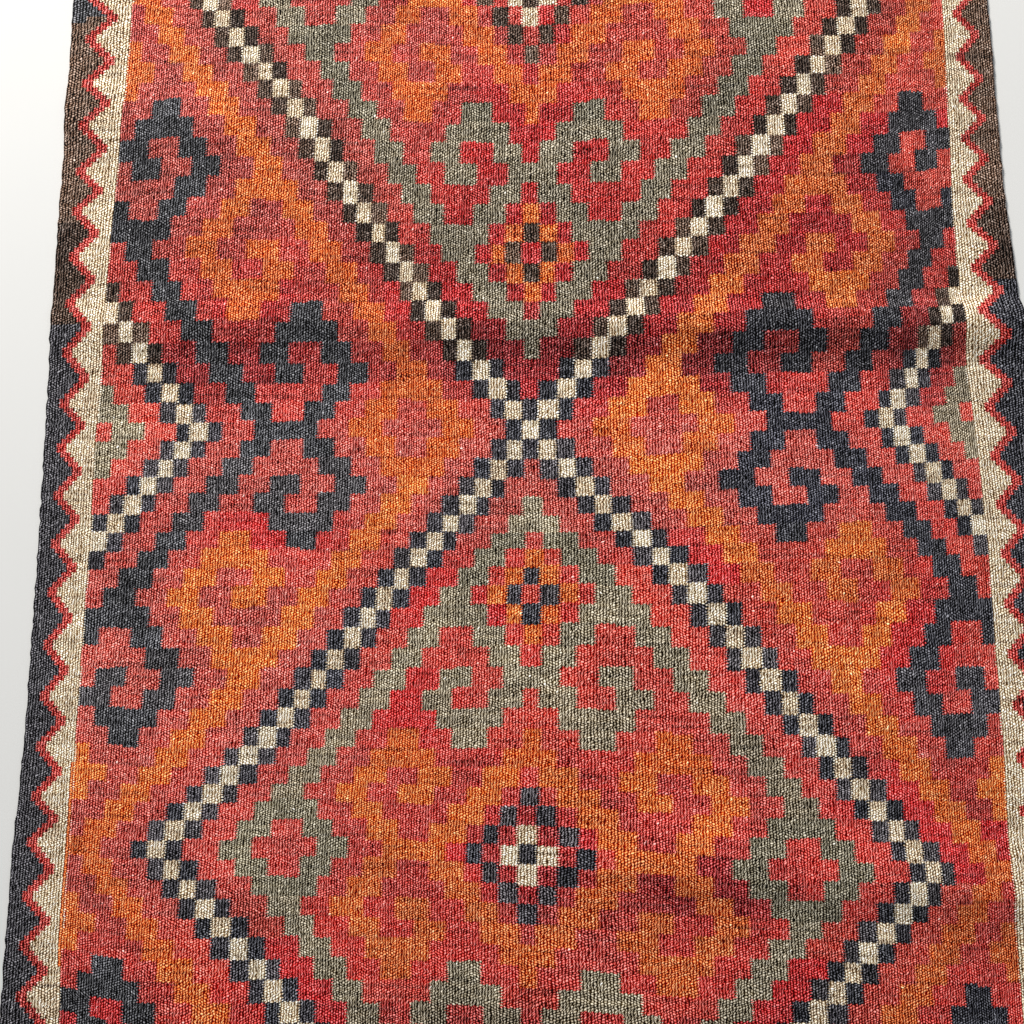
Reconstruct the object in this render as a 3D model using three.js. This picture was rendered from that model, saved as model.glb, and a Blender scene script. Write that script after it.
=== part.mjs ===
import * as THREE from 'three';

// A kilim, a flat-woven rug, lying on the ground. It is one cloth: field, borders, selvedges and end bands are woven
// together. Sizes are in millimetres. X runs from selvedge to selvedge, Y along the warps and Z up, and the origin is
// on the ground under the middle of the cloth.

const thickness = 3;
const length = 1724;

// The two selvedges: how far each lies from the middle line at a place along the cloth.
const selvedges = [
  { along: -862, left: 449, right: 447 },
  { along: -720, left: 453, right: 451 },
  { along: -568, left: 454, right: 453 },
  { along: -440, left: 453, right: 452 },
  { along: -298, left: 450, right: 452 },
  { along: -59, left: 451, right: 453 },
  { along: 34, left: 453, right: 454 },
  { along: 171, left: 453, right: 449 },
  { along: 386, left: 454, right: 450 },
  { along: 560, left: 452, right: 451 },
  { along: 720, left: 450, right: 449 },
  { along: 862, left: 447, right: 445 },
];

// The two ends: how far each is drawn in from a straight cut at a place across the cloth.
const ends = [
  { across: -454, near: 12, far: 7 },
  { across: -300, near: 7, far: 4 },
  { across: -120, near: 5, far: 1 },
  { across: 60, near: 2, far: 0 },
  { across: 240, near: 0, far: 3 },
  { across: 454, near: 3, far: 8 },
];

// How far into the cloth the unevenness of an end reaches.
const endReach = 160;

// Folds that lie across the cloth. Each crest runs from its left end to its right end, and swells from the one height
// to the other. Near and far are how far its two slopes reach, and taper is the length over which an end dies away.
const folds = [
  { leftX: -520, leftY: 46, leftHeight: 1.5, rightX: 560, rightY: 28, rightHeight: 8.5, near: 24, far: 34, taper: 60 },
  { leftX: -10, leftY: -446, leftHeight: 4, rightX: 560, rightY: -484, rightHeight: 6, near: 34, far: 60, taper: 110 },
  { leftX: -560, leftY: 262, leftHeight: 4, rightX: -170, rightY: 236, rightHeight: 2, near: 46, far: 52, taper: 120 },
  { leftX: -60, leftY: 632, leftHeight: 3, rightX: 560, rightY: 604, rightHeight: 6, near: 40, far: 56, taper: 150 },
  { leftX: -560, leftY: -690, leftHeight: 5, rightX: 120, rightY: -668, rightHeight: 2, near: 44, far: 54, taper: 150 },
];

// Spacing of the mesh: across the cloth, along it where it lies flat, and along it over a fold.
const acrossStep = 46;
const flatStep = 48;
const foldStep = 12;

// The value of one column of a table at a place between its rows, on a smooth curve through them.
function tableValue(table, key, column, place) {
  const last = table.length - 1;
  let row = 0;
  while (row < last - 1 && place > table[row + 1][key]) {
    row += 1;
  }
  const from = table[row];
  const to = table[row + 1];
  const before = table[Math.max(row - 1, 0)];
  const after = table[Math.min(row + 2, last)];
  const span = to[key] - from[key];
  const part = Math.min(Math.max((place - from[key]) / span, 0), 1);
  const slopeFrom = (span * (to[column] - before[column])) / (to[key] - before[key]);
  const slopeTo = (span * (after[column] - from[column])) / (after[key] - from[key]);
  const fromWeight = (1 + 2 * part) * (1 - part) ** 2;
  const toWeight = part * part * (3 - 2 * part);
  const bend = part * (1 - part) ** 2 * slopeFrom - part * part * (1 - part) * slopeTo;
  return fromWeight * from[column] + toWeight * to[column] + bend;
}

// Height of the underside over the ground at a place on the cloth.
function lift(x, y) {
  let height = 0;
  for (const fold of folds) {
    const part = (x - fold.leftX) / (fold.rightX - fold.leftX);
    if (part <= 0 || part >= 1) {
      continue;
    }
    const crest = THREE.MathUtils.lerp(fold.leftY, fold.rightY, part);
    const reach = y > crest ? fold.far : fold.near;
    const slope = Math.abs(y - crest) / reach;
    if (slope >= 1) {
      continue;
    }
    const nearestEnd = Math.min(x - fold.leftX, fold.rightX - x);
    const swell = THREE.MathUtils.lerp(fold.leftHeight, fold.rightHeight, part);
    height += swell * THREE.MathUtils.smoothstep(nearestEnd, 0, fold.taper) * Math.cos((Math.PI / 2) * slope) ** 2;
  }
  return height;
}

// Places along the cloth where the mesh has a line: close together over each fold, and wide apart between them.
function linesAlong() {
  const lines = [-length / 2];
  while (lines.at(-1) < length / 2) {
    const last = lines.at(-1);
    const overFold = folds.some((fold) => {
      const low = Math.min(fold.leftY, fold.rightY) - fold.near;
      const high = Math.max(fold.leftY, fold.rightY) + fold.far;
      return last >= low - foldStep && last < high;
    });
    const nextFold = Math.min(
      ...folds
        .map((fold) => Math.min(fold.leftY, fold.rightY) - fold.near)
        .filter((low) => low > last + foldStep / 2),
      length / 2,
    );
    const step = overFold ? foldStep : flatStep;
    lines.push(Math.min(last + step, Math.max(nextFold, last + foldStep / 2), length / 2));
  }
  return lines;
}

// The place of a mesh point: side runs from -1 at the left selvedge to 1 at the right one.
function placeOf(side, line) {
  const width = tableValue(selvedges, 'along', side < 0 ? 'left' : 'right', line);
  const x = side * width;
  const nearShare = 1 - THREE.MathUtils.smoothstep(line, -length / 2, -length / 2 + endReach);
  const farShare = THREE.MathUtils.smoothstep(line, length / 2 - endReach, length / 2);
  const y = line + nearShare * tableValue(ends, 'across', 'near', x) - farShare * tableValue(ends, 'across', 'far', x);
  return { x, y };
}

// The closed cloth: an upper and a lower sheet on the same folds, joined along the whole edge.
function clothGeometry() {
  const lines = linesAlong();
  const columns = 2 * Math.round(tableValue(selvedges, 'along', 'left', 0) / acrossStep);
  const perLine = columns + 1;
  const sheetPoints = perLine * lines.length;
  const points = [];
  for (const sheetHeight of [0, thickness]) {
    for (const line of lines) {
      for (let column = 0; column <= columns; column += 1) {
        const { x, y } = placeOf((2 * column) / columns - 1, line);
        points.push(x, y, lift(x, y) + sheetHeight);
      }
    }
  }
  const faces = [];
  for (let row = 0; row < lines.length - 1; row += 1) {
    for (let column = 0; column < columns; column += 1) {
      const a = row * perLine + column;
      const b = a + 1;
      const c = b + perLine;
      const d = a + perLine;
      faces.push(a, c, b, a, d, c);
      faces.push(a + sheetPoints, b + sheetPoints, c + sheetPoints, a + sheetPoints, c + sheetPoints, d + sheetPoints);
    }
  }
  const edge = [];
  for (let column = 0; column < columns; column += 1) {
    edge.push(column);
  }
  for (let row = 0; row < lines.length - 1; row += 1) {
    edge.push(row * perLine + columns);
  }
  for (let column = columns; column > 0; column -= 1) {
    edge.push((lines.length - 1) * perLine + column);
  }
  for (let row = lines.length - 1; row > 0; row -= 1) {
    edge.push(row * perLine);
  }
  edge.forEach((from, index) => {
    const to = edge[(index + 1) % edge.length];
    faces.push(from, to, to + sheetPoints, from, to + sheetPoints, from + sheetPoints);
  });
  const geometry = new THREE.BufferGeometry();
  geometry.setAttribute('position', new THREE.Float32BufferAttribute(points, 3));
  geometry.setIndex(faces);
  geometry.computeVertexNormals();
  return geometry;
}

const wool = new THREE.MeshStandardMaterial({ color: '#b04a3c', roughness: 0.95, metalness: 0 });

const kilim = new THREE.Mesh(clothGeometry(), wool);
kilim.name = 'kilim';

const rug = new THREE.Group();
rug.add(kilim);

export default rug;
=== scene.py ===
import functools
import math
import random

import bpy
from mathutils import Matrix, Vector


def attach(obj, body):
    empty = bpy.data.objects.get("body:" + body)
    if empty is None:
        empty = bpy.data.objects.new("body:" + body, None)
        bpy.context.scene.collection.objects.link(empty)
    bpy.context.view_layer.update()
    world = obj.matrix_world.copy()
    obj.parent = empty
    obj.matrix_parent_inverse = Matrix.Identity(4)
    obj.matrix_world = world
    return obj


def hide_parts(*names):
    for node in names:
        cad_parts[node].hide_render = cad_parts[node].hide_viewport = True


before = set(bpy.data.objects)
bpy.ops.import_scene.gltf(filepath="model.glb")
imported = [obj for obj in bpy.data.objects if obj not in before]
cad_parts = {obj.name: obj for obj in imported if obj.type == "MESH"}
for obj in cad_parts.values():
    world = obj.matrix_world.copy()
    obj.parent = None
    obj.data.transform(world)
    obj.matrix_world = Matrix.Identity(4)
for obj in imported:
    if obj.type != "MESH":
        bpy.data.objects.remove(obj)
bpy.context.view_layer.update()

# The view
# The camera stands over the middle of the rug, as the photograph's does, so both ends of the cloth run out
# of the picture. One soft light comes from beyond the far left corner, and a weak one from the near side.

bpy.ops.object.select_all(action="DESELECT")
picture_side = 1024
camera_focus = 1030
sensor_width = 36
camera_place = (0.01647, -0.29834, 0.92206)
camera_turn = (9.579, 2.027, -0.276)
bpy.ops.object.camera_add(location=camera_place)
camera = bpy.context.object
camera.rotation_euler = [math.radians(turn) for turn in camera_turn]
camera.data.sensor_width = sensor_width
camera.data.lens = sensor_width * camera_focus / picture_side
bpy.context.scene.camera = camera
bpy.context.scene.view_settings.view_transform = "Standard"


def soft_light(name, place, aim, side, power, colour):
    bpy.ops.object.light_add(type="AREA", location=place)
    light = bpy.context.object
    light.name = name
    light.rotation_euler = (Vector(aim) - Vector(place)).to_track_quat("-Z", "Y").to_euler()
    light.data.size = side
    light.data.energy = power
    light.data.color = colour


key_colour = (1, 0.97, 0.93)
fill_colour = (0.92, 0.96, 1)
soft_light("key_light", place=(-1.3, 3.2, 1.95), aim=(0, -0.1, 0), side=0.8, power=345, colour=key_colour)
soft_light("fill_light", place=(1.6, -1.8, 2.6), aim=(0, 0, 0), side=2.4, power=20, colour=fill_colour)
studio = bpy.data.worlds.new("studio")
studio.use_nodes = True
studio.node_tree.nodes["Background"].inputs["Color"].default_value = (0.86, 0.92, 1, 1)
studio.node_tree.nodes["Background"].inputs["Strength"].default_value = 0.28
bpy.context.scene.world = studio

# The floor
# A plain pale floor, smooth and matt, just under the cloth. It isn't part of the rug.
# Its material is the first one here, so the way in which materials are written down comes with it.

floor_side = 9
floor_gap = 0.0004
floor_grey = 0.57


class Reading:
    """A number, colour or place read off a surface. Arithmetic on it adds Math nodes to the material."""

    tree = None

    def __init__(self, socket):
        self.socket = socket

    @classmethod
    def node(cls, kind, settings, sockets, output=0):
        """Adds a node of a type: first its settings, then the values or links of its sockets."""
        added = cls.tree.nodes.new(kind)
        for setting, value in settings.items():
            setattr(added, setting, value)
        for key, value in sockets.items():
            if isinstance(value, cls):
                cls.tree.links.new(value.socket, added.inputs[key])
            else:
                added.inputs[key].default_value = value
        return cls(added.outputs[output])

    @classmethod
    def math(cls, operation, *values):
        return cls.node("ShaderNodeMath", {"operation": operation}, dict(enumerate(values)))

    def __add__(self, other):
        return self.math("ADD", self, other)

    def __sub__(self, other):
        return self.math("SUBTRACT", self, other)

    def __rsub__(self, other):
        return self.math("SUBTRACT", other, self)

    def __mul__(self, other):
        return self.math("MULTIPLY", self, other)

    def __truediv__(self, other):
        return self.math("DIVIDE", self, other)

    def __mod__(self, other):
        return self.math("FLOORED_MODULO", self, other)

    def __gt__(self, other):
        return self.math("GREATER_THAN", self, other)

    def __lt__(self, other):
        return self.math("LESS_THAN", self, other)

    def __abs__(self):
        return self.math("ABSOLUTE", self)

    def whole(self):
        return self.math("FLOOR", self)

    def nearest(self):
        return self.math("ROUND", self)

    def part(self):
        return self.math("FRACT", self)

    def side(self):
        return self.math("SIGN", self)


def begin_material(name):
    """A new material: Reading.tree becomes its tree, and its surface shader is returned."""
    material = bpy.data.materials.new(name)
    material.use_nodes = True
    Reading.tree = material.node_tree
    return material, material.node_tree.nodes["Principled BSDF"]


def feed(shader, socket, reading):
    Reading.tree.links.new(reading.socket, shader.inputs[socket])


def object_place():
    return Reading.node("ShaderNodeTexCoord", {}, {}, "Object")


def mottle(place, scale, detail):
    """Soft clouds from 0 to 1, half on average."""
    sockets = {"Vector": place, "Scale": scale, "Detail": detail}
    return Reading.node("ShaderNodeTexNoise", {}, sockets, "Fac")


def between(share, first, second):
    """The first colour where share is 0, the second where it is 1."""
    return Reading.node("ShaderNodeMix", {"data_type": "RGBA"}, {0: share, 6: first, 7: second}, 2)


bpy.ops.mesh.primitive_plane_add(size=floor_side, location=(0, 0, -floor_gap))
floor = bpy.context.object
floor.name = "floor"
floor_finish, floor_shader = begin_material("pale_floor")
floor_cloud = mottle(object_place(), 3, 4)
floor_pale = (floor_grey, floor_grey, floor_grey * 0.98, 1)
floor_dull = (floor_grey * 0.93, floor_grey * 0.93, floor_grey * 0.91, 1)
feed(floor_shader, "Base Color", between(floor_cloud, floor_dull, floor_pale))
floor_shader.inputs["Roughness"].default_value = 0.85
floor.data.materials.append(floor_finish)

# The chart
# The field is woven in small blocks of one colour each. The same quarter turns up four times in each whole
# lozenge, so the chart is a set of rules, from the middle row out: a white lattice between dark blocks, and
# stepped bands, rings, stars and hooked horns beside it.

last_column = 27
last_row = 44
lozenge_half = 22

# The two hooked horns: at each place along, the places across that they take.
horn = {
    10: (3, 4),
    11: (2, 3),
    12: (1, 2),
    13: (0, 1, 4, 5),
    14: (1, 2, 5, 6),
    15: (2, 3, 4, 5),
    16: (3, 4),
}
turned_horn = {
    6: (18, 19),
    7: (17, 18, 19, 20),
    8: (16, 17, 20, 21),
    9: (17, 18, 21, 22),
    10: (20, 21),
    11: (19, 20),
    12: (18, 19),
}


def in_horn(shape, across, along):
    return across in shape.get(along, ())


def inner_yarn(across, along):
    """The yarn of a block inside a lozenge."""
    star = across + abs(along - 9)
    heart = across + lozenge_half - along
    ring = abs(across - 14.5) + lozenge_half - along
    if heart <= 6:
        return ("dark", "cream", "red", "dark", "red", "orange", "orange")[heart]
    if in_horn(horn, across, along) or ring in (2.5, 3.5):
        return "green"
    if in_horn(turned_horn, across + 11, along - 10):
        return "orange"
    if star <= 5 and along <= 13:
        return ("red", "dark", "orange", "red", "green", "green")[star]
    if along - across in (4, 5):
        return "green"
    return "red"


def outer_yarn(across, along):
    """The yarn of a block between a lozenge and the border."""
    out = across - along
    half_lozenge = out - 21
    if half_lozenge >= -1:
        steps = ("dark", "cream", "dark", "red", "red", "green", "green")
        return steps[half_lozenge + 1] if half_lozenge < 6 else "red"
    if in_horn(horn, across - 21, along) or in_horn(horn, across - 11, along + 10):
        return "charcoal"
    if out in (16, 17) and along <= 11:
        return "charcoal"
    if in_horn(turned_horn, across, along) or in_horn(turned_horn, across - 10, along - 10):
        return "orange"
    if out in (4, 5) or abs(across - 7.5) + along in (2.5, 3.5):
        return "orange"
    return "red"


def chart_yarn(column, row):
    across = abs(column)
    along = abs(row) if abs(row) <= lozenge_half else 2 * lozenge_half - abs(row)
    if across == along:
        return "cream"
    if abs(across - along) == 1:
        return "dark"
    return inner_yarn(across, along) if along > across else outer_yarn(across, along)


chart = {
    (column, row): chart_yarn(column, row)
    for row in range(-last_row, last_row + 1)
    for column in range(-last_column, last_column + 1)
}

# The dyed yarn
# Hand-spun wool in small dye lots. Each patch of one colour has its own bobbin, and when that runs out the
# next one is a shade off, so a patch changes tone between one row and another, and the reds change most.


def dyed(red, green, blue):
    """A yarn's colour as a camera shows it, 0 to 255, as the shader's own light values."""
    lights = [level / 255 for level in (red, green, blue)]
    return tuple(((light + 0.055) / 1.055) ** 2.4 if light > 0.04045 else light / 12.92 for light in lights)


dye_lots = {
    "cream": (dyed(227, 205, 177), dyed(221, 198, 169), dyed(233, 214, 187)),
    "dark": (dyed(63, 60, 66), dyed(54, 54, 61), dyed(77, 72, 76)),
    "slate": (dyed(68, 68, 72), dyed(63, 63, 67), dyed(76, 73, 76)),
    "charcoal": (dyed(60, 60, 67), dyed(69, 67, 72), dyed(54, 54, 63)),
    "brown": (dyed(82, 62, 50), dyed(64, 47, 38), dyed(112, 87, 71)),
    "red": (
        dyed(211, 70, 62),
        dyed(198, 76, 64),
        dyed(208, 53, 54),
        dyed(189, 67, 60),
        dyed(222, 88, 74),
        dyed(215, 78, 69),
    ),
    "orange": (dyed(225, 114, 52), dyed(231, 121, 55), dyed(218, 110, 54), dyed(221, 106, 49)),
    "green": (dyed(141, 129, 108), dyed(132, 124, 104), dyed(149, 138, 116)),
}
shortest_lot = 2
longest_lot = 7
brown_above = -3
block_spreads = {"cream": 0.02, "red": 0.12, "orange": 0.03, "green": 0.12}
dark_spread = 0.3
# The share of the painted row shading that a yarn takes, as a power: orange takes less, cream none, the rest
# all of it.
row_shading_powers = {"orange": 0.5, "cream": 0}

# Bobbins of a stronger or a duller red: the column and row at their middle, how far they reach each way, and
# their red. A later one lies over the earlier ones. The maroon ones paint shade along the folds' near slopes
# and in a band right across the cloth at row 32.
crimson = dyed(198, 46, 48)
# A darker red that paints shade on the reds.
painted_shade_red = dyed(159, 44, 47)
dusty = dyed(201, 84, 75)
faded = dyed(184, 89, 79)
brick = dyed(171, 77, 68)
red_bobbins = (
    (-22, -15.5, 15, 6.5, faded),
    (-7, -18.5, 9, 3.5, dusty),
    (0, 2.5, 28, 3.5, faded),
    (-22, 13, 15, 7, faded),
    (16, 14, 12, 3, dusty),
    (-24, 22, 11, 4.5, brick),
    (2, 26, 4, 2, dusty),
    (0, -15, 5, 3.5, crimson),
    (0, -9, 7, 3, crimson),
    (15, -10, 7, 4.5, crimson),
    (0, -3.5, 8, 2.2, painted_shade_red),
    (-7, -7, 3, 2.5, crimson),
    (-18, -6.5, 3, 1.5, crimson),
    (-19, -3.5, 6, 1.5, painted_shade_red),
    (11, -5.5, 7, 1.6, crimson),
    (11, -3, 5, 1.8, painted_shade_red),
    (24, -3, 3, 3, painted_shade_red),
    (-16, 5.5, 4, 1.2, crimson),
    (-5.5, 9, 3.5, 1.8, crimson),
    (-7, 14.5, 3, 2, crimson),
    (0, 22, 3, 3, painted_shade_red),
    (13, 17, 5, 3, dusty),
    (22, 11, 3, 3, crimson),
    (10, 23, 4, 1.6, painted_shade_red),
    (-18, 21, 5, 3, dusty),
    (0, 32, 30, 2.2, painted_shade_red),
)
bobbin_share = 0.85
# How light the wool is painted at the left and at the right, by row of the chart, from the far end to the
# near one:
# it is darker beyond the fold, with painted shade under the folds and bands of painted light and shade
# across it.
shaded_columns = 20
painted_row_shading = (
    (-44, 0.94, 0.9),
    (-22, 0.96, 0.9),
    (-17, 0.94, 0.82),
    (-13, 0.9, 0.8),
    (-8, 0.82, 0.71),
    (-5, 0.82, 0.66),
    (-3.2, 0.85, 0.6),
    (-2, 1.04, 1.02),
    (0, 1.26, 1.32),
    (5, 1.25, 1.15),
    (8, 1.19, 1.06),
    (14, 1.4, 1.16),
    (20, 1.36, 1.03),
    (23, 1.34, 0.9),
    (25, 1.12, 0.82),
    (28, 1.14, 0.97),
    (30, 1.04, 1),
    (34, 1, 0.98),
    (44, 1, 1),
)


def bounded(value, lowest, highest):
    return min(max(value, lowest), highest)


def eased(share):
    share = bounded(share, 0, 1)
    return share * share * (3 - 2 * share)


def mixed(share, first, second):
    return first + (second - first) * share


def on_curve(table, place, column):
    """The value in a column of a table at a place between its rows, on a smooth curve through them."""
    last = len(table) - 1
    row = 0
    while row < last - 1 and place > table[row + 1][0]:
        row += 1
    start, end = table[row], table[row + 1]
    before, after = table[max(row - 1, 0)], table[min(row + 2, last)]
    span = end[0] - start[0]
    share = bounded((place - start[0]) / span, 0, 1)
    slope_start = span * (end[column] - before[column]) / (end[0] - before[0])
    slope_end = span * (after[column] - start[column]) / (after[0] - start[0])
    bend = share * (1 - share) ** 2 * slope_start - share * share * (1 - share) * slope_end
    return mixed(eased(share), start[column], end[column]) + bend


def patches_of(chart):
    """The blocks that touch and have one yarn, patch by patch."""
    left = set(chart)
    found = []
    for block in chart:
        if block not in left:
            continue
        left.discard(block)
        patch, edge = [], [block]
        while edge:
            column, row = edge.pop()
            patch.append((column, row))
            for beside in ((column - 1, row), (column + 1, row), (column, row - 1), (column, row + 1)):
                if beside in left and chart[beside] == chart[block]:
                    left.discard(beside)
                    edge.append(beside)
        found.append(patch)
    return found


def reddened(colour, column, row):
    """A red block's colour, drawn towards that of the listed bobbins near it."""
    for middle_column, middle_row, wide, high, bobbin in red_bobbins:
        away = ((column - middle_column) / wide) ** 2 + ((row - middle_row) / high) ** 2
        share = bobbin_share / (1 + away ** 3)
        colour = tuple(mixed(share, light, bobbin_light) for light, bobbin_light in zip(colour, bobbin))
    return colour


# The painted light and shade of a block, mixed between the left and the right column of the table.
def painted_shading_at(column, row):
    share = bounded((column + shaded_columns) / (2 * shaded_columns), 0, 1)
    return mixed(share, on_curve(painted_row_shading, row, 1), on_curve(painted_row_shading, row, 2))


def yarn_kind(yarn, column, row):
    """The dark yarn is brown beyond the fold, and the charcoal one is greyer on the left."""
    if yarn == "dark" and row < brown_above:
        return "brown"
    return "slate" if yarn == "charcoal" and column < 0 else yarn


block_colours = {}
for number, patch in enumerate(patches_of(chart)):
    bobbins = random.Random(number)
    yarn = chart[patch[0]]
    lot_of_row = {}
    row_now = min(row for column, row in patch)
    while row_now <= max(row for column, row in patch):
        tone = bobbins.choice(range(len(dye_lots[yarn])))
        for _ in range(bobbins.randint(shortest_lot, longest_lot)):
            lot_of_row[row_now] = tone
            row_now += 1
    for column, row in patch:
        kind = yarn_kind(yarn, column, row)
        spread = block_spreads.get(yarn, dark_spread)
        # A block's tone differs at random, and it also takes the painted light and shade of its row.
        shading_power = row_shading_powers.get(yarn, 1)
        shade = (1 + bobbins.uniform(-spread, spread)) * painted_shading_at(column, row) ** shading_power
        colour = dye_lots[kind][lot_of_row[row] % len(dye_lots[kind])]
        if yarn == "red":
            colour = reddened(colour, column, row)
        block_colours[column, row] = tuple(shade * light for light in colour)

# The kilim
# One flat-woven wool cloth, with its selvedges, sawtooth side borders and plain end bands in one with the
# field. It lies loose on the floor, so it has a low fold right across it and a few fainter ones, and its
# edges wander a little.

mm = 0.001
thickness = 3
length = 1724
block_width = 15
border_blocks = 3.25
field_edge = last_column + 0.5
field_end = last_row + 0.5
end_blocks = 1.6

# Along the cloth: the half widths on the left and on the right.
selvedges = (
    (-862, 449, 447),
    (-720, 453, 451),
    (-568, 454, 453),
    (-440, 453, 452),
    (-298, 450, 452),
    (-59, 451, 453),
    (34, 453, 454),
    (171, 453, 449),
    (386, 454, 450),
    (560, 452, 451),
    (720, 450, 449),
    (862, 447, 445),
)
# Across the cloth: how far the near and the far end are drawn in.
ends = ((-454, 12, 7), (-300, 7, 4), (-120, 5, 1), (60, 2, 0), (240, 0, 3), (454, 3, 8))
# Each fold: its left end and height, its right end and height, the reach of its near and far slopes, and its
# taper.
folds = (
    (-520, 46, 2, 560, 28, 10, 42, 27, 60),
    (-10, -446, 4, 560, -484, 6, 34, 60, 110),
    (-560, 262, 4, -170, 236, 2, 46, 52, 120),
    (-60, 632, 3, 560, 604, 6, 40, 56, 150),
    (-560, -690, 5, 120, -668, 2, 44, 54, 150),
)
# The rows of blocks, counted from the middle lattice crossing to the near end, bend and aren't equally high:
# how far along the cloth each lies at a few columns of blocks.
row_columns = (-27.5, -22, -11, 0, 11, 22, 27.5)
row_lines = (
    (-44.5, 848, 842, 838, 836, 836, 834, 838),
    (-20, 347, 338, 338, 331, 334, 332, 336),
    (-16, 260, 263, 256, 249, 252, 250, 254),
    (-11, 155, 158, 149, 144, 148, 149, 153),
    (-3, -8, -8, -9, -9, -6, -4, -3),
    (0, -63, -65, -63, -67, -63, -60, -56),
    (4, -132, -132, -133, -138, -133, -129, -125),
    (8, -200, -200, -201, -201, -199, -196, -194),
    (15, -322, -325, -327, -326, -332, -335, -332),
    (22, -432, -437, -434, -442, -451, -455, -453),
    (30, -558, -571, -568, -573, -582, -586, -584),
    (44.5, -828, -832, -835, -836, -838, -838, -836),
)
# The columns of blocks bend too: how far across the cloth each lies at a few rows.
column_columns = (-27.5, -22, -16, -11, -5, 0, 5, 11, 16, 22, 27.5)
column_lines = (
    (-44.5, -392, -312, -225, -150, -68, 6, 86, 179, 252, 337, 402),
    (-20, -394, -315, -226, -151, -68, 6, 86, 178, 252, 339, 405),
    (-7, -401, -320, -230, -156, -73, 3, 83, 179, 254, 337, 400),
    (8, -403, -320, -230, -158, -72, 3, 84, 181, 256, 338, 406),
    (24, -403, -327, -235, -164, -80, -4, 82, 177, 252, 337, 404),
    (44.5, -402, -324, -234, -161, -76, 0, 83, 178, 253, 337, 403),
)


def lift(x, y):
    """Height of the underside over the floor."""
    height = 0
    for left_x, left_y, left_height, right_x, right_y, right_height, near, far, taper in folds:
        share = (x - left_x) / (right_x - left_x)
        if not 0 < share < 1:
            continue
        crest = mixed(share, left_y, right_y)
        slope = abs(y - crest) / (far if y > crest else near)
        if slope < 1:
            swell = mixed(share, left_height, right_height) * eased(min(x - left_x, right_x - x) / taper)
            height += swell * math.cos(math.pi / 2 * slope) ** 2
    return height


@functools.lru_cache(None)
def across_row(row, columns, lines):
    """The measured places along one row of the chart, as a table of column and place."""
    return [(column, on_curve(lines, row, number + 1)) for number, column in enumerate(columns)]


def laid(column, row):
    """Where a point of the chart lies on the floor."""
    field_row = bounded(row, -field_end, field_end)
    field_column = bounded(column, -field_edge, field_edge)
    x = on_curve(across_row(field_row, column_columns, column_lines), field_column, 1)
    y = on_curve(across_row(field_row, row_columns, row_lines), field_column, 1)
    if abs(column) > field_edge:
        selvedge = -on_curve(selvedges, y, 1) if column < 0 else on_curve(selvedges, y, 2)
        x = mixed((abs(column) - field_edge) / border_blocks, x, selvedge)
    if abs(row) > field_end:
        end = on_curve(ends, x, 1) - length / 2 if row > 0 else length / 2 - on_curve(ends, x, 2)
        y = mixed((abs(row) - field_end) / end_blocks, y, end)
    return x, y


def wander(x, y, phase):
    """A small unevenness of the hand weaving, from -1 to 1."""
    long_wave = math.sin(x / 41 + 1.7 * math.sin(y / 97 + phase) + phase)
    cross_wave = math.sin(y / 33 + 1.3 * math.sin(x / 71 - phase) + 2 * phase)
    short_wave = math.sin(x / 17 - y / 23 + 4 * phase)
    return 0.4 * long_wave + 0.4 * cross_wave + 0.2 * short_wave


weave_wander = 1.1
pucker_height = 0.5
border_faces = 8
faces_per_block = 2
faces_per_row = 3
edge_ripple = 0.8
edge_rounding = 1.1
end_faces = 4
columns = [-field_edge - border_blocks * (1 - step / border_faces) for step in range(border_faces)]
field_faces = (2 * last_column + 1) * faces_per_block
columns += [-field_edge + step / faces_per_block for step in range(field_faces)]
columns += [field_edge + border_blocks * step / border_faces for step in range(border_faces + 1)]
rows = [field_end + end_blocks * (1 - step / end_faces) for step in range(end_faces)]
field_rows = (2 * last_row + 1) * faces_per_row
rows += [field_end - step / faces_per_row for step in range(field_rows)]
rows += [-field_end - end_blocks * step / end_faces for step in range(end_faces + 1)]

bpy.ops.object.select_all(action="DESELECT")
bpy.ops.mesh.primitive_grid_add(x_subdivisions=len(columns) - 1, y_subdivisions=len(rows) - 1, size=2)
kilim = bpy.context.object
kilim.name = "kilim_cloth"
cloth = kilim.data
cloth.name = "kilim_cloth"
edge_luck = random.Random(0)
row_lucks = {row: edge_luck.uniform(-1, 1) for row in rows}
chart_places = []
for point in cloth.vertices:
    column = columns[round((point.co.x + 1) / 2 * (len(columns) - 1))]
    row = rows[round((point.co.y + 1) / 2 * (len(rows) - 1))]
    chart_places.append((column, row))
    x, y = laid(column, row)
    inside = eased((field_edge + border_blocks - abs(column)) / 2)
    x += weave_wander * wander(x, y, 0) * mixed(inside, 0.4, 1)
    y += weave_wander * wander(x, y, 2)
    if abs(column) > field_edge + border_blocks - 0.1:
        x += edge_ripple * row_lucks[row]
    pucker = pucker_height * (1 + wander(1.4 * x, 1.4 * y, 5)) / 2
    point.co = (x * mm, y * mm, (lift(x, y) + pucker + thickness / 2) * mm)

chart_map = cloth.uv_layers.active
for corner in cloth.loops:
    chart_map.data[corner.index].uv = chart_places[corner.vertex_index]

# Sawtooth tips of the red line beside each border, along the cloth, from the far end to the near one.
left_tips = (
    340, 291, 245, 198, 157, 110, 63, 14, -36, -78, -123,
    -168, -212, -260, -305, -349, -392, -430, -476, -516, -557,
)
right_tips = (
    320, 273, 232, 192, 148, 104, 60, 16, -29, -74, -119,
    -163, -207, -251, -295, -339, -383, -427, -471, -515, -559,
)
tip_pitch = 44.5


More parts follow.
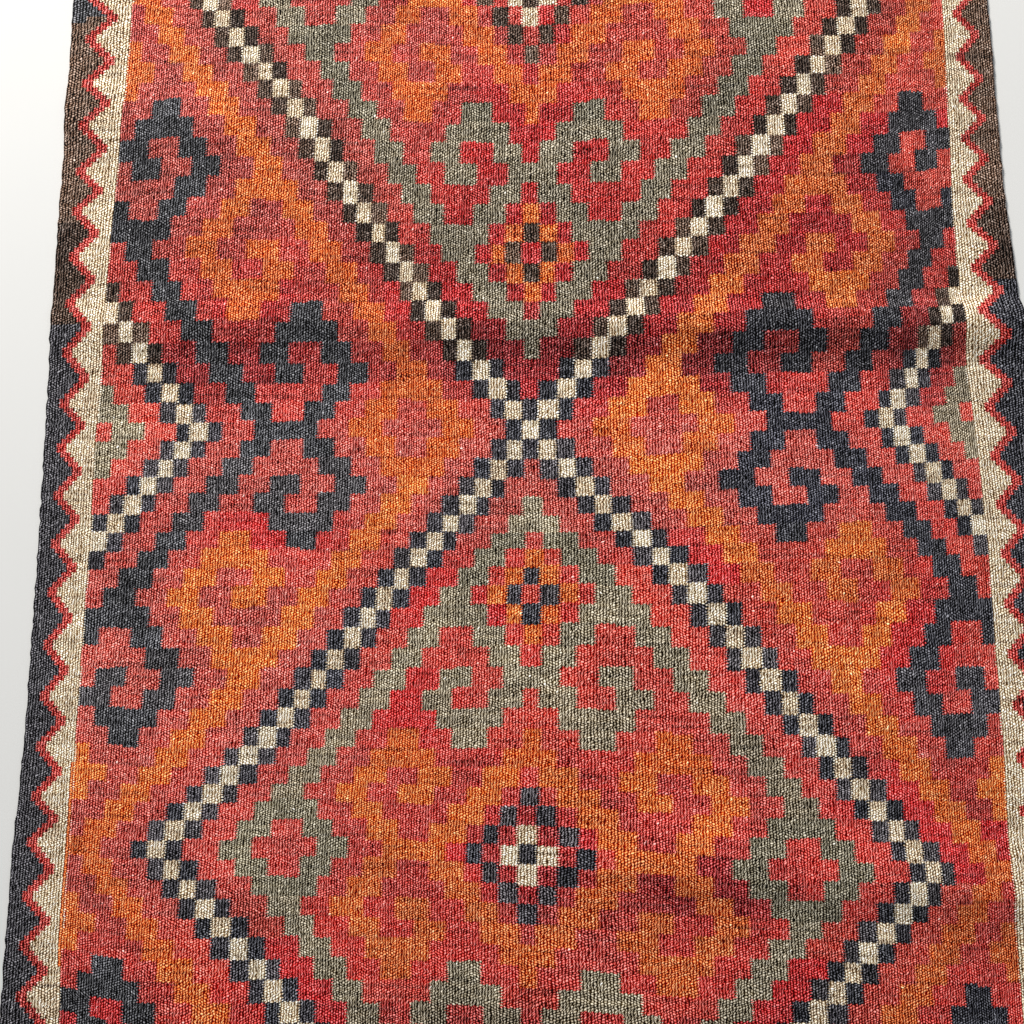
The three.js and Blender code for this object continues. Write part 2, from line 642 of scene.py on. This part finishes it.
def tip_count(tips, y):
    """How many sawtooth tips lie between a place along the cloth and the first tip."""
    if y >= tips[0]:
        return (tips[0] - y) / tip_pitch
    for number in range(len(tips) - 1):
        if y >= tips[number + 1]:
            return number + (tips[number] - y) / (tips[number] - tips[number + 1])
    return len(tips) - 1 + (tips[-1] - y) / tip_pitch


tip_counts = cloth.attributes.new("tip_count", "FLOAT", "POINT")
for point in cloth.vertices:
    tips = left_tips if point.co.x < 0 else right_tips
    tip_counts.data[point.index].value = tip_count(tips, point.co.y / mm)

# Yarns of the side bands, from the far end to the near one: where each begins along the cloth.
beyond_end = 900
left_bands = (
    (beyond_end, "slate", 0),
    (361, "brown", 2),
    (143, "brown", 1),
    (97, "brown", 0),
    (42, "charcoal", 1),
)
right_bands = (
    (beyond_end, "brown", 2),
    (149, "brown", 0),
    (110, "brown", 1),
    (84, "brown", 0),
    (70, "charcoal", 0),
)
cream_dye = dye_lots["cream"][0]


def band_dye(column, y):
    bands = left_bands if column < 0 else right_bands
    yarn, lot = [(yarn, lot) for start, yarn, lot in bands if y <= start][-1]
    return dye_lots[yarn][lot]


def colour_at(column, row, y):
    """The colour of a block, with the painted light and shade of its row, or of the band at each end, or of
    the cream at each side of the field.
    """
    if abs(row) > last_row:
        return dye_lots["charcoal"][2]
    if abs(column) > last_column:
        return cream_dye
    return block_colours[column, row]


# Each face keeps the colour of its block and of the four blocks beside it, with their painted light and
# shade.
neighbours = {"own": (0, 0), "left": (-1, 0), "right": (1, 0), "near": (0, 1), "far": (0, -1)}
yarn_values = {name: [] for name in neighbours}
for face in cloth.polygons:
    corners = [chart_places[corner] for corner in face.vertices]
    column = sum(corner[0] for corner in corners) / len(corners)
    row = sum(corner[1] for corner in corners) / len(corners)
    y = face.center.y / mm
    for name, (across, along) in neighbours.items():
        if name == "own" and abs(column) > field_edge and abs(row) < field_end:
            yarn_values[name] += band_dye(column, y)
        else:
            yarn_values[name] += colour_at(round(column) + across, round(row) + along, y)
for name, values in yarn_values.items():
    cloth.attributes.new("yarn_" + name, "FLOAT_VECTOR", "FACE").data.foreach_set("vector", values)

body = kilim.modifiers.new("body", "SOLIDIFY")
body.thickness = thickness * mm
body.offset = 0
body.use_even_offset = False
edge_round = kilim.modifiers.new("edge_round", "BEVEL")
edge_round.width = edge_rounding * mm
edge_round.segments = 2
edge_round.limit_method = "ANGLE"
edge_round.angle_limit = math.radians(50)
for modifier in ("body", "edge_round"):
    bpy.ops.object.modifier_apply(modifier=modifier)
bpy.ops.object.shade_smooth()

# The weave of the kilim
# The weft covers the warp, so the face is close ribs, one for each warp, made of small slanting beads, one
# for each pass of the weft. Where two colours meet, their wefts turn on one warp and the joint is toothed.

warps_per_block = 6
beads_per_block = 8
# How far the ribs stray from straight lines, in ribs, and the rows of beads from theirs, in beads.
broad_stray = 0.7
small_stray = 0.9
fine_stray = 0.7
bead_stray = 2.4
mean_slant = 0.8
slant_spread = 7
# How far the joints between blocks stray and how deep their teeth are, in blocks.
tooth_reach = 0.11
joint_wander = 0.2
row_wander = 0.16
comb_reach = 0.05
# How strongly the painted shade and highlight of the beads, the lint and the streaks show.
bead_shading_and_fleck_strength = 0.76
bead_middle = 0.72
fleck_share = 0.24
lint_light = 0.2
least_lint_luck = 0.9975
streak_strength = 1.3
fine_streak_strength = 0.9
cloud_strength = 0.7
rib_strength = 0.15
screen_gamma = 2.2
palest_tone = (0.98, 0.98, 0.98)

woven_wool, wool_shader = begin_material("woven_wool")


def yarn(name):
    return Reading.node("ShaderNodeAttribute", {"attribute_name": "yarn_" + name}, {}, "Color")


def place_of(x, y, z):
    return Reading.node("ShaderNodeCombineXYZ", {}, {0: x, 1: y, 2: z})


def chance(x, y):
    """One fixed random number from 0 to 1 for each pair of values."""
    sockets = {"Vector": place_of(x, y, 0)}
    return Reading.node("ShaderNodeTexWhiteNoise", {"noise_dimensions": "2D"}, sockets, "Value")


def rising(value, low, high):
    """0 below low, 1 above high, and smooth between them."""
    sockets = {"Value": value, "From Min": low, "From Max": high}
    return Reading.node("ShaderNodeMapRange", {"interpolation_type": "SMOOTHSTEP"}, sockets)


def scaled(colour, share):
    return Reading.node("ShaderNodeVectorMath", {"operation": "SCALE"}, {0: colour, "Scale": share})


chart_place = Reading.node("ShaderNodeUVMap", {"uv_map": "UVMap"}, {})
across = Reading.node("ShaderNodeSeparateXYZ", {}, {0: chart_place}, 0)
along = Reading.node("ShaderNodeSeparateXYZ", {}, {0: chart_place}, 1)
drift = mottle(chart_place, 0.9, 1) - 0.5

# The ribs and the beads.
small_drift = mottle(chart_place, 4, 1) - 0.5
unevenness = mottle(place_of(across * 7, along * 9, 7), 1, 0) - 0.5
warp = across * warps_per_block + drift * broad_stray + small_drift * small_stray + unevenness * fine_stray
row_drift = mottle(place_of(across * 0.5, along * 1.1, 4), 1, 1) - 0.5
weft = along * beads_per_block + row_drift * bead_stray
warp_number = warp.whole()
from_warp = warp.part() - 0.5
slant = (mottle(chart_place, 1.3, 0) - 0.5) * slant_spread + mean_slant
bead_place = weft + warp_number * 0.5 + from_warp * slant
from_bead = bead_place.part() - 0.5
bead_luck = chance(warp_number, bead_place.whole())
rib = 1 - from_warp * from_warp * 4
bead = 1 - from_bead * from_bead * 4
relief = rib * (bead * 0.7 + 0.3)

# The joints between blocks.
block_column = across.nearest()
block_row = along.nearest()
from_column = across - block_column
from_row = along - block_row
column_side = from_column.side()
row_side = from_row.side()
tooth_luck = chance(weft.whole(), block_column + column_side * 0.5) * 1.2 + 0.4
tooth = (abs(weft.part() - 0.5) * 4 - 1) * tooth_luck
joint_shift = (chance(block_column + column_side * 0.5, block_row) - 0.5) * joint_wander
joint_shift = joint_shift + tooth * tooth_reach
row_shift = (chance(block_column, block_row + row_side * 0.5) - 0.5) * row_wander
row_shift = row_shift + (warp_number % 2 - 0.5) * comb_reach
past_joint = abs(from_column) > column_side * joint_shift + 0.5
past_row = abs(from_row) > row_side * row_shift + 0.5
beside = between(column_side > 0, yarn("left"), yarn("right"))
beyond = between(row_side > 0, yarn("far"), yarn("near"))
field_colour = between(past_joint, between(past_row, yarn("own"), beyond), beside)

# The sawtooth border: cream next to the field, a red line, then the dark band out to the selvedge. For a few
# rows at the left a thin orange line runs beside the field.
saw_steps = 5
saw_depth = 1.35
least_cream = 0.58
red_line = 0.62
orange_line = 0.17
orange_row = 23
orange_rows = 11
out = abs(across) - field_edge
tips_passed = Reading.node("ShaderNodeAttribute", {"attribute_name": "tip_count"}, {}, "Fac")
saw = abs((tips_passed.part() - 0.5) * 2)
saw_stepped = ((saw * saw_steps).whole() + 0.5) / saw_steps
cream_edge = saw_stepped * saw_depth + least_cream + tooth * 0.05
in_red = out > cream_edge
in_band = out > cream_edge + red_line
saw_red = dye_lots["red"][3] + (1,)
saw_cream = dye_lots["cream"][1] + (1,)
border_colour = between(in_band, between(in_red, saw_cream, saw_red), yarn("own"))
edge_line = (out < orange_line) * (across < 0) * (abs(along - orange_row) < orange_rows / 2)
border_colour = between(edge_line, border_colour, dye_lots["orange"][0] + (1,))
in_border = (out > 0) * (abs(along) < field_end)
plain_colour = between(in_border, field_colour, border_colour)

# Streaks of the hand-spun weft, uneven dyeing and a few specks of lint. The gaps between the beads are
# painted darker as shade and the bead tops paler as a highlight, by the same step on the screen in every
# colour.
streak = mottle(place_of(across * 0.15, along * 4.5, 0), 1, 2) - 0.5
fine_streak = mottle(place_of(across * 0.4, along * 12, 9), 1, 1) - 0.5
cloud = mottle(object_place(), 13, 2) - 0.5
warp_luck = chance(warp_number, (along * 0.7 + drift).whole()) - 0.5
brightness = streak * streak_strength + fine_streak * fine_streak_strength
brightness = brightness + cloud * cloud_strength + warp_luck * rib_strength + 1
fleck = chance((warp * 2).whole(), bead_place.whole()) - 0.5
lint = bead_luck > least_lint_luck
# Painted shade in the gaps between the beads and a painted highlight on their tops, with random flecks and
# lint.
painted_bead_lighting = rising(relief, 0.15, 0.95) * (bead_luck * 0.3 + 0.85)
bead_shading_flecks_and_lint = (painted_bead_lighting + fleck * fleck_share - bead_middle) * bead_shading_and_fleck_strength + lint * lint_light
tone = Reading.node("ShaderNodeGamma", {}, {0: scaled(plain_colour, brightness), 1: 1 / screen_gamma})
for operation, limit in (("ADD", bead_shading_flecks_and_lint), ("MAXIMUM", (0, 0, 0)), ("MINIMUM", palest_tone)):
    tone = Reading.node("ShaderNodeVectorMath", {"operation": operation}, {0: tone, 1: limit})
# The wool's colour with the painted bead shade and highlight.
wool_colour_with_painted_shade = Reading.node("ShaderNodeGamma", {}, {0: tone, 1: screen_gamma})
feed(wool_shader, "Base Color", wool_colour_with_painted_shade)
bumped = Reading.node("ShaderNodeBump", {}, {"Height": relief, "Distance": 0.4 * mm, "Strength": 1})
feed(wool_shader, "Normal", bumped)
wool_shader.inputs["Roughness"].default_value = 0.92
wool_shader.inputs["Specular IOR Level"].default_value = 0.06
cloth.materials.clear()
cloth.materials.append(woven_wool)

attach(kilim, "root")
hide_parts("kilim")
